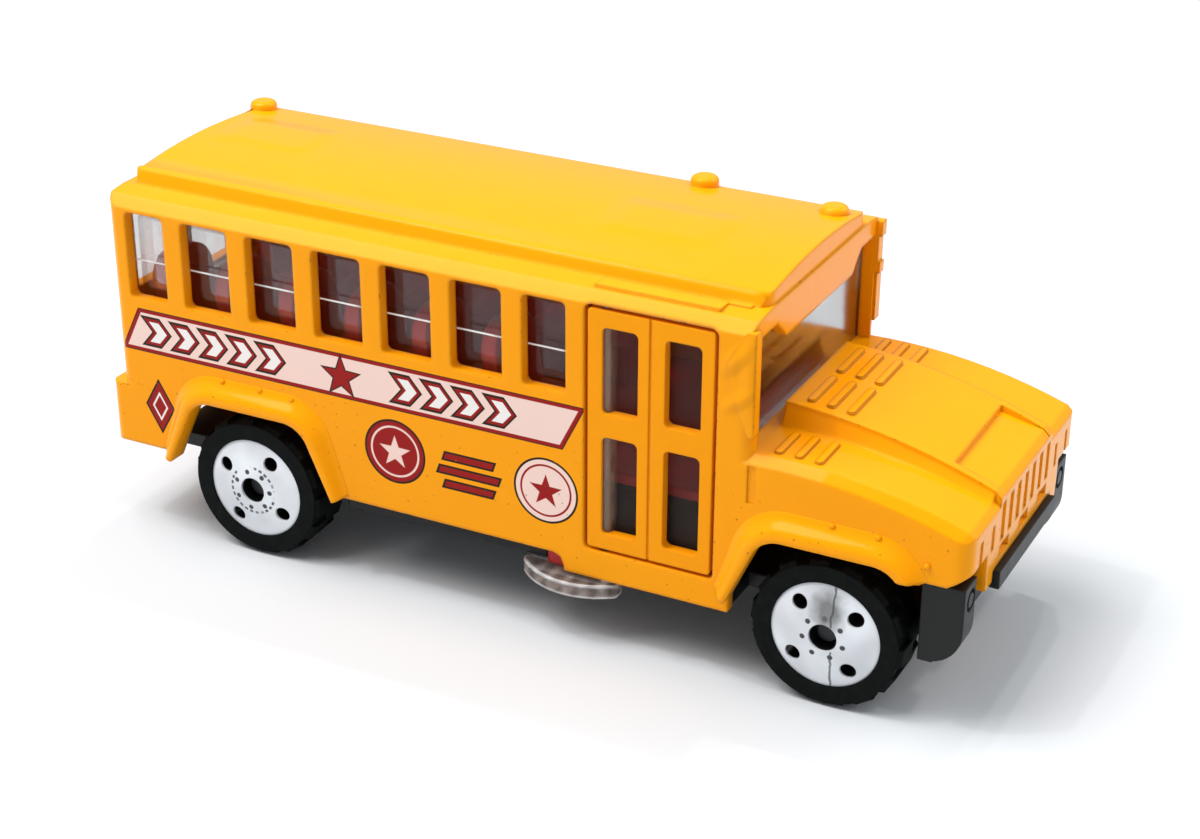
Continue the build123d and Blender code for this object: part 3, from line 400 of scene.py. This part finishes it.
def hubFinish(end, wheel):
    f = Finish(f"{end}HubPaint")
    dx, dz = f.x - wheel["x"], f.z - wheel["z"]
    reach = (dx * dx + dz * dz).root()
    turn = dz.angle(dx)
    flow = f.noise(0.5, 3.0)
    cloud = f.noise(0.28, 1.0)
    base = f.mix(cloud.over(0.5, 0.4), (0.80, 0.83, 0.86), (0.62, 0.64, 0.67))
    m = hubMarks
    step = 2 * math.pi / m["dots"]
    swing = (turn - m["turn"][end] + step / 2).wrap(step) - step / 2
    u, v = reach * swing.cosine() - m["dotRing"], reach * swing.sine()
    dots = (u * u + v * v).root().under(m["dot"], 0.08)
    base = f.mix(dots, base, (0.03, 0.03, 0.035))
    if end == "rear":       # a worn dashed ring
        dash = (turn * (24 / (2 * math.pi))).wrap(1.0).between(0.15, 0.75, 0.1)
        ring = abs(reach - m["dashRing"]).under(0.11, 0.08) * dash * flow.over(0.42, 0.15)
        base = f.mix(ring * 0.95, base, (0.05, 0.05, 0.06))
    else:                   # hairline cracks and a dark grey patch above the middle
        wobble = (f.noise(0.8, 2.0) - 0.5) * 0.5
        crack = abs(dx - 0.62 - wobble).under(0.09, 0.06) * abs(dz).over(1.0, 0.2)
        u, v = dx - 0.25, dz - 2.2
        greyPatch = 1.0 - ((u * u * 1.6 + v * v).root() / 2.1 + (f.noise(0.7, 2.0) - 0.5) * 0.9).least(1.0).most(0.0)
        base = f.mix((greyPatch * 1.25).least(0.85), base, (0.10, 0.10, 0.10))
        base = f.mix(crack * 0.8, base, (0.05, 0.045, 0.045))
    rim = reach.over(wheel["hubRadius"] - 0.16, 0.1)
    base = f.mix(rim * 0.35, base, (0.55, 0.56, 0.58))
    # painted shade: below the domed face, the holes and the bore are darkened to near black
    dome = wheel["hubFace"] - (reach / wheel["hubRadius"]) ** 2.0 * m["dome"]
    recessShade = (dome - abs(f.y)).over(0.16, 0.1)
    base = f.mix(recessShade, base, (0.006, 0.006, 0.007))
    return f.surface(base=base, rough=0.26 + flow * 0.15, metal=0.1, coat=0.2,
                     normal=f.bump(f.noise(3.0, 2.0), 0.06, 0.02, f.rounded(0.12)))


def tyreFinish():
    f = Finish("tyreRubber")
    dust = f.noise(1.2, 4.0, 0.6)
    base = f.mix(dust.over(0.55, 0.25) * 0.4, (0.002, 0.003, 0.003), (0.010, 0.011, 0.010))
    return f.surface(base=base, rough=0.6 + dust * 0.2, gloss=0.1,
                     normal=f.bump(f.noise(8.0, 3.0), 0.2, 0.02, f.rounded(0.2)))


def paint(piece, material):
    piece.data.materials.clear()
    piece.data.materials.append(material)
    for face in piece.data.polygons:
        face.material_index = 0


finishes = {
    "enamel": enamelFinish(), "door": doorFinish(), "interior": interiorFinish(), "base": baseFinish(),
    "axle": axleFinish(), "tyre": tyreFinish(),
    "glazing": glazingFinish(), "bead": beadFinish(), "lever": leverFinish(),
}
nodeFinish = {
    "body_casting": "enamel", "door_panel": "door", "door_glass_lever": "lever", "window_glazing": "glazing",
    "interior_moulding": "interior", "base_moulding": "base", "front_axle": "axle", "rear_axle": "axle",
}
for name, finish in nodeFinish.items():
    paint(nodes[name], finishes[finish])
for place, wheel in wheels.items():
    end = place.split("_")[0]
    paint(nodes[place + "_tyre"], finishes["tyre"])
    if end + "Hub" not in finishes:
        finishes[end + "Hub"] = hubFinish(end, wheel)
    paint(nodes[place + "_hub"], finishes[end + "Hub"])
print("finishes: %d" % len(finishes))


def pick(piece):
    bpy.ops.object.select_all(action="DESELECT")
    piece.select_set(True)
    bpy.context.view_layer.objects.active = piece


def edit(piece):
    pick(piece)
    bpy.ops.object.mode_set(mode="EDIT")
    bpy.ops.mesh.select_all(action="SELECT")


def unselect(mesh):
    for kind in (mesh.polygons, mesh.edges, mesh.vertices):
        for item in kind:
            item.select = False


def done(piece, name, finish, body, angle=30):
    # back to the origin, smooth, named, painted and on its body
    bpy.ops.object.mode_set(mode="OBJECT")
    pick(piece)
    bpy.ops.object.transform_apply(location=True, rotation=True, scale=True)
    if angle:
        bpy.ops.object.shade_smooth_by_angle(angle=math.radians(angle))
    piece.name = name
    piece.data.name = name
    paint(piece, finish)
    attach(piece, body)
    return piece


def twin(piece, name, body, angle=30):
    # a copy on the other side, with its own mesh
    other = piece.copy()
    other.data = piece.data.copy()
    scene.collection.objects.link(other)
    for vertex in other.data.vertices:
        vertex.co.y = -vertex.co.y
    edit(other)
    bpy.ops.mesh.normals_make_consistent(inside=False)
    return done(other, name, piece.data.materials[0], body, angle)


flareRise = 1.04
flat = bodyHigh.y - flareRise     # the casting's flat side
arch = {          # the opening from its axle, and a flare's section: out from the opening's edge, and from the middle
    "foot": (7.78, 6.92), "lean": 24.3, "top": 12.98, "corner": 2.4, "turnSteps": 8, "legSteps": 4,
    "section": ((0.0, flat - 0.8), (0.0, 13.20), (0.06, 13.30), (0.18, 13.37), (0.36, 13.395), (0.85, 13.385),
                (1.12, 13.31), (1.36, 13.15), (1.60, 12.94), (1.85, 12.73), (2.10, 12.56), (2.35, 12.44),
                (2.60, flat + 0.02), (2.75, flat - 0.03), (2.75, flat - 0.2), (0.7, flat - 0.2), (0.7, flat - 0.8)),
    "footScale": 0.50, "legScale": 0.72, "topScale": 0.84, "noseCut": 12.2,
}


soft = {"roofZ": 29.8, "rearX": -35, "straight": 0.95, "turn": 8, "least": 0.6, "roof": 0.5}


def soften(piece, radius, belongs):
    # roll the sharp edges that belong
    mesh = piece.data
    bpy.ops.mesh.select_mode(type="EDGE")
    bpy.ops.mesh.select_all(action="DESELECT")
    bpy.ops.object.mode_set(mode="OBJECT")
    around = {}
    for face in mesh.polygons:
        for key in face.edge_keys:
            around.setdefault(key, []).append(face.normal.copy())
    for edge in mesh.edges:
        a, b = (mesh.vertices[i].co / mm for i in edge.vertices)
        normals = around[edge.key]
        if edge.use_edge_sharp and len(normals) == 2 and (b - a).length > soft["least"]:
            turn = normals[0].angle(normals[1], 0)
            along = abs(b.x - a.x) / (b - a).length
            edge.select = turn > math.radians(soft["turn"]) and belongs((a + b) / 2, along)
    bpy.ops.object.mode_set(mode="EDIT")
    bpy.ops.mesh.bevel(offset=radius * mm, segments=3, affect="EDGES", clamp_overlap=False, harden_normals=True)
    bpy.ops.mesh.select_mode(type="VERT")


# the stretch round a wheel that holds a flare, and how far past the flat side it starts and is cut
shell = {"reach": 9.6, "top": 15.5, "proud": 0.2, "cut": 0.004, "weld": 2e-6}


def bodyShell():
    # the casting without its faceted flares: rounded ones stand in for them
    piece = nodes["body_casting"].copy()
    piece.data = nodes["body_casting"].data.copy()
    scene.collection.objects.link(piece)
    edit(piece)
    bpy.ops.mesh.select_mode(type="EDGE")
    bpy.ops.mesh.select_all(action="DESELECT")
    bpy.ops.mesh.select_non_manifold()       # the borders of the CAD's faces stay sharp
    bpy.ops.mesh.mark_sharp()
    bpy.ops.mesh.select_mode(type="VERT")
    bpy.ops.mesh.select_all(action="SELECT")
    bpy.ops.mesh.remove_doubles(threshold=shell["weld"])
    for end in ("rear", "front"):
        middle = wheels[end + "_right"]["x"]
        for sign in (-1, 1):
            bpy.ops.object.mode_set(mode="OBJECT")
            proud = set()
            for face in piece.data.polygons:
                corners = [piece.data.vertices[i].co / mm for i in face.vertices]
                if (abs(face.center.x / mm - middle) < shell["reach"] and face.center.z / mm < shell["top"]
                        and max(c.y * sign for c in corners) > flat + shell["proud"]):
                    proud.update(face.vertices)
            unselect(piece.data)
            for index in proud:
                piece.data.vertices[index].select = True
            bpy.ops.object.mode_set(mode="EDIT")
            bpy.ops.mesh.bisect(plane_co=(0, sign * (flat + shell["cut"]) * mm, 0), plane_no=(0, sign, 0),
                                use_fill=True, clear_outer=True)

    def onRoof(at, along):
        # the roof panel's right edge and its rear end
        right = along > soft["straight"] and at.y < 0
        return at.z > soft["roofZ"] and (right or at.x < soft["rearX"])

    soften(piece, soft["roof"], onRoof)
    piece = done(piece, "bodyShell", finishes["enamel"], "bus_body", None)
    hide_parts("body_casting")


def flare(end, middle):
    a = arch
    lean = math.radians(a["lean"])
    up = Vector((-math.sin(lean), 0, math.cos(lean)))
    out = Vector((math.cos(lean), 0, math.sin(lean)))
    foot = Vector((a["foot"][0], 0, a["foot"][1]))
    turn = math.pi / 2 - lean
    length = (a["top"] - a["corner"] - foot.z + a["corner"] * math.sin(lean)) / math.cos(lean)
    centre = foot + up * length - out * a["corner"]
    bpy.ops.object.select_all(action="DESELECT")
    bpy.ops.mesh.primitive_circle_add(vertices=len(a["section"]), radius=mm)
    piece = bpy.context.object
    for vertex, (reach, y) in zip(piece.data.vertices, a["section"]):
        place = foot + out * reach * a["footScale"]
        vertex.co = Vector((place.x, -y, place.z)) * mm
    edit(piece)
    scale, inner = a["footScale"], foot

    def widen(wanted):
        nonlocal scale
        bpy.ops.transform.resize(value=(wanted / scale, 1, wanted / scale), center_override=inner * mm)
        scale = wanted

    for step in range(a["legSteps"]):      # up the leg, round the corner and along the top to the middle
        inner = inner + up * length / a["legSteps"]
        bpy.ops.mesh.extrude_region_move(TRANSFORM_OT_translate={"value": up * length / a["legSteps"] * mm})
        widen(a["footScale"] + (a["legScale"] - a["footScale"]) * (step + 1) / a["legSteps"])
    for step in range(a["turnSteps"]):
        bpy.ops.mesh.extrude_region()
        angle = turn / a["turnSteps"]
        bpy.ops.transform.rotate(value=angle, orient_axis="Y", center_override=centre * mm)
        inner = centre + Matrix.Rotation(-angle, 3, "Y") @ (inner - centre)
        widen(a["legScale"] + (a["topScale"] - a["legScale"]) * (step + 1) / a["turnSteps"])
    bpy.ops.mesh.extrude_region_move(TRANSFORM_OT_translate={"value": (-inner.x * mm, 0, 0)})
    bpy.ops.object.mode_set(mode="OBJECT")
    mirror = piece.modifiers.new("mirror", "MIRROR")
    mirror.merge_threshold = 0.00001
    bpy.ops.object.modifier_apply(modifier="mirror")
    edit(piece)
    bpy.ops.mesh.fill_holes(sides=0)
    bpy.ops.mesh.select_all(action="SELECT")
    bpy.ops.transform.translate(value=(middle * mm, 0, 0))
    if end == "front":        # its front leg stops with the fender
        bpy.ops.object.mode_set(mode="OBJECT")
        unselect(piece.data)
        for vertex in piece.data.vertices:
            vertex.select = vertex.co.x > (middle + 1) * mm
        bpy.ops.object.mode_set(mode="EDIT")
        bpy.ops.mesh.bisect(plane_co=(0, 0, a["noseCut"] * mm), plane_no=(0, 0, 1), use_fill=True, clear_inner=True)
        bpy.ops.mesh.select_all(action="SELECT")
    bpy.ops.mesh.normals_make_consistent(inside=False)
    done(piece, f"{end}RightFlare", finishes["enamel"], "bus_body", 50)
    for each in (piece, twin(piece, f"{end}LeftFlare", "bus_body", angle=50)):
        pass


bodyShell()
for end in ("rear", "front"):
    flare(end, wheels[end + "_right"]["x"])
print("body shell and four flares: done")

sash = {"x": (-35.1, 6.2), "y": (11.27, 11.35), "z": (23.52, 23.66)}


def sashBeads():
    # a clear bead moulded along the window band, on the inside; its whitish finish is a painted highlight
    low, high = sash["x"]
    middle = Vector(((low + high) / 2, -sum(sash["y"]) / 2, sum(sash["z"]) / 2))
    bpy.ops.object.select_all(action="DESELECT")
    bpy.ops.mesh.primitive_cube_add(size=mm, location=middle * mm)
    piece = bpy.context.object
    edit(piece)
    bpy.ops.transform.resize(value=(high - low, sash["y"][1] - sash["y"][0], sash["z"][1] - sash["z"][0]))
    bpy.ops.mesh.bevel(offset=0.02 * mm, segments=2, affect="EDGES")
    done(piece, "rightSashBead", finishes["bead"], "bus_body")
    for each in (piece, twin(piece, "leftSashBead", "bus_body")):
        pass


rivets = {        # on the flares' crease: along from the rear axle, and up
    "rear": ((-2.6, 15.0), (1.0, 14.95), (4.0, 14.8)), "front": ((49.8, 15.0), (53.3, 14.95), (57.0, 13.6)),
    "radius": 0.26, "rise": 0.17,
}


def rivet(end, index, x, z):
    bpy.ops.object.select_all(action="DESELECT")
    place = Vector((wheels["rear_right"]["x"] + x, -(flat + 0.1), z))
    bpy.ops.mesh.primitive_uv_sphere_add(segments=16, ring_count=10, radius=rivets["radius"] * mm, location=place * mm)
    piece = bpy.context.object
    edit(piece)
    bpy.ops.transform.resize(value=(1, rivets["rise"] / rivets["radius"], 1))
    done(piece, f"{end}RightRivet{index}", finishes["enamel"], "bus_body", 60)
    for each in (piece, twin(piece, f"{end}LeftRivet{index}", "bus_body", angle=60)):
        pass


sashBeads()
for end in ("rear", "front"):
    for index, (x, z) in enumerate(rivets[end]):
        rivet(end, index, x, z)
print("sash beads and rivets: done")

cameraPlace = {
    "place": (0.0769, -0.14861, 0.09381), "yaw": 26.839, "pitch": 26.037, "roll": 0.30,     # metres and degrees
    "lens": 69.48, "sensor": 36.0, "near": 0.01,
}


def makeCamera():
    yaw, pitch, roll = (math.radians(cameraPlace[k]) for k in ("yaw", "pitch", "roll"))
    back = Vector((math.sin(yaw) * math.cos(pitch), -math.cos(yaw) * math.cos(pitch), math.sin(pitch)))
    right = Vector((math.cos(yaw), math.sin(yaw), 0.0))
    up = back.cross(right)
    right, up = (math.cos(roll) * right + math.sin(roll) * up, -math.sin(roll) * right + math.cos(roll) * up)
    data = bpy.data.cameras.new("camera")
    data.lens = cameraPlace["lens"]
    data.sensor_width = cameraPlace["sensor"]
    data.clip_start = cameraPlace["near"]
    camera = bpy.data.objects.new("camera", data)
    camera.matrix_world = Matrix((right, up, back)).transposed().to_4x4()
    camera.location = cameraPlace["place"]
    scene.collection.objects.link(camera)
    scene.camera = camera


floorHalf = 3.0
lightsAim = (0, 0, 0.01)
lights = {        # place in metres, size, power in watts, and colour
    "key": ((-0.19, -0.12, 0.47), 0.38, 3.2, (1.0, 0.995, 0.98)),
    "back": ((0.34, 0.30, 0.38), 0.30, 1.3, (1.0, 1.0, 1.0)),
    "glint": ((-0.17, -0.14, 0.48), 0.014, 0.28, (1.0, 1.0, 1.0)),
    "crestGlint": ((-0.03, 0.18, 0.48), 0.011, 0.24, (1.0, 1.0, 1.0)),
    "hoodGlint": ((0.02, 0.18, 0.48), 0.011, 0.18, (1.0, 1.0, 1.0)),
    "sparkle": ((0.24, -0.10, 0.42), 0.016, 0.22, (1.0, 1.0, 1.0)),
}
worldLight = {"colour": (0.90, 0.955, 1.0), "strength": 0.46}


def makeFloor():
    mesh = bpy.data.meshes.new("floor")
    h = floorHalf
    mesh.from_pydata([(-h, -h, 0), (h, -h, 0), (h, h, 0), (-h, h, 0)], [], [(0, 1, 2, 3)])
    floor = bpy.data.objects.new("floor", mesh)
    scene.collection.objects.link(floor)
    f = Finish("floorPaper")
    paper = f.noise(0.02, 2.0)
    paint(floor, f.surface(base=f.mix(paper, (0.63, 0.645, 0.665), (0.61, 0.625, 0.645)), rough=0.8, gloss=0.2))


def makeLights():
    for name, (place, size, power, colour) in lights.items():
        data = bpy.data.lights.new(name, "AREA")
        data.size = size
        data.energy = power
        data.color = colour
        lamp = bpy.data.objects.new(name, data)
        lamp.location = place
        lamp.rotation_mode = "QUATERNION"
        lamp.rotation_quaternion = (Vector(lightsAim) - Vector(place)).to_track_quat("-Z", "Y")
        scene.collection.objects.link(lamp)
    world = bpy.data.worlds.new("studio")
    world.use_nodes = True
    background = world.node_tree.nodes["Background"]
    background.inputs[0].default_value = (*worldLight["colour"], 1.0)
    background.inputs[1].default_value = worldLight["strength"]
    scene.world = world
    scene.view_settings.view_transform = "Standard"
    scene.view_settings.exposure = 0.0


makeCamera()
makeFloor()
makeLights()
print("camera, floor and light: done")
